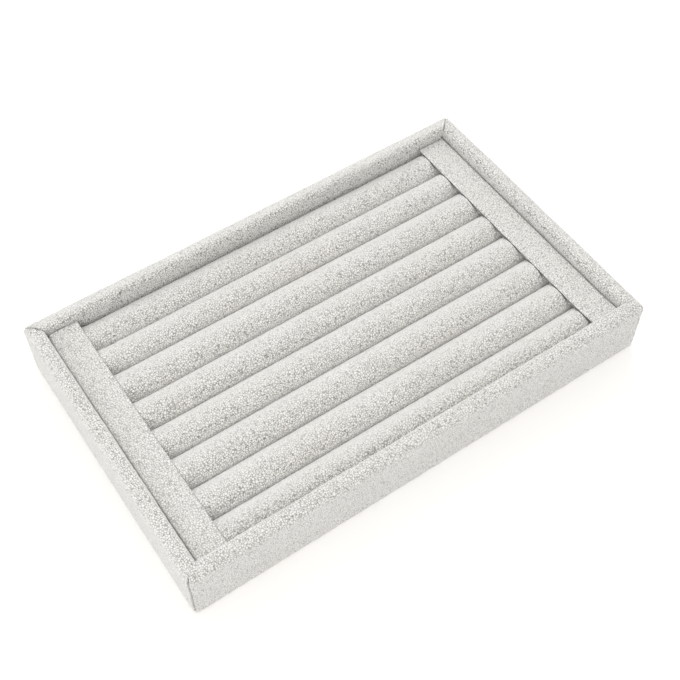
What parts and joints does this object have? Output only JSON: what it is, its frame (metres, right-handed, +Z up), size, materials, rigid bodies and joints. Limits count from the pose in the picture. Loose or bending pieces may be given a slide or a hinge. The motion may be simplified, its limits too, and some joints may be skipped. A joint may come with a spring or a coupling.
{
  "type": "jewelry tray",
  "caption": "Low rectangular velvet tray with a raised rim, a bed of soft padded rolls that grip finger rings, and a flat wrapped bar over each end of the rolls.",
  "frame": {"origin": "middle of the tray's underside, on the surface that it stands on", "axes": "+X along the rolls, which is the long side, +Y to the rear wall, +Z up"},
  "size_m": [0.24, 0.15, 0.03],
  "materials": {
    "velvet": "short-pile velvet",
    "fibreboard": "bare fibreboard",
    "roll_foam": "soft foam",
    "grey_card": "matte card"
  },
  "bodies": {
    "root": {"base_board": "fibreboard", "bottom_cover": "velvet", "bed_card": "grey_card", "front_wall_board": "fibreboard", "rear_wall_board": "fibreboard", "left_wall_board": "fibreboard", "right_wall_board": "fibreboard", "front_wall_velvet": "velvet", "rear_wall_velvet": "velvet", "left_wall_velvet": "velvet", "right_wall_velvet": "velvet", "roll_1_foam": "roll_foam", "roll_2_foam": "roll_foam", "roll_3_foam": "roll_foam", "roll_4_foam": "roll_foam", "roll_5_foam": "roll_foam", "roll_6_foam": "roll_foam", "roll_7_foam": "roll_foam", "roll_8_foam": "roll_foam", "roll_1_velvet": "velvet", "roll_2_velvet": "velvet", "roll_3_velvet": "velvet", "roll_4_velvet": "velvet", "roll_5_velvet": "velvet", "roll_6_velvet": "velvet", "roll_7_velvet": "velvet", "roll_8_velvet": "velvet", "left_bar_board": "fibreboard", "right_bar_board": "fibreboard", "left_bar_velvet": "velvet", "right_bar_velvet": "velvet"}
  },
  "joints": []
}
